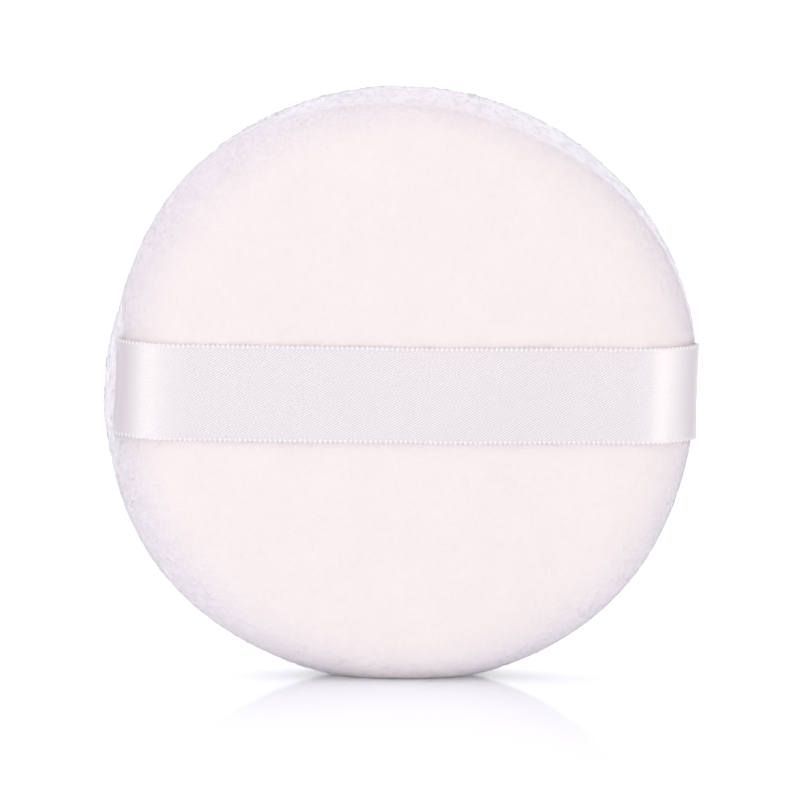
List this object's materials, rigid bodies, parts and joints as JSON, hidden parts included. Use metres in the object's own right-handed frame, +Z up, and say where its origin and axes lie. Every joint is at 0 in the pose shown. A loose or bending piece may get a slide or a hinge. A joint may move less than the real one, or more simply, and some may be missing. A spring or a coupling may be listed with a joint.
{
  "type": "powder puff",
  "caption": "Round velour powder puff with a foam core and a satin finger ribbon across its back, sewn into the rim seam.",
  "frame": {"origin": "on the ground under the middle of the puff, with the puff standing on its rim", "axes": "+Z up, -Y out of the ribbon side that faces the user, +Y out of the plush face that takes the powder, X along the ribbon"},
  "size_m": [0.1, 0.0266, 0.0995],
  "materials": {
    "velour_back": "matte",
    "velour_plush": "matte",
    "satin_ribbon": "satin",
    "foam": "matte",
    "sewing_thread": "matte"
  },
  "bodies": {
    "puff": {"back_cover": "velour_back", "plush_cover": "velour_plush", "foam_core": "foam", "ribbon_end_left": "satin_ribbon", "ribbon_end_right": "satin_ribbon", "seam_thread": "sewing_thread", "closing_stitch": "sewing_thread"},
    "strap": {"ribbon_strap": "satin_ribbon"}
  },
  "joints": [
    {"name": "strap_lift", "type": "slide", "parent": "puff", "child": "strap", "axis": [0, -1, 0], "range_m": [0, 0.012], "stiffness_N_per_m": 6}
  ]
}
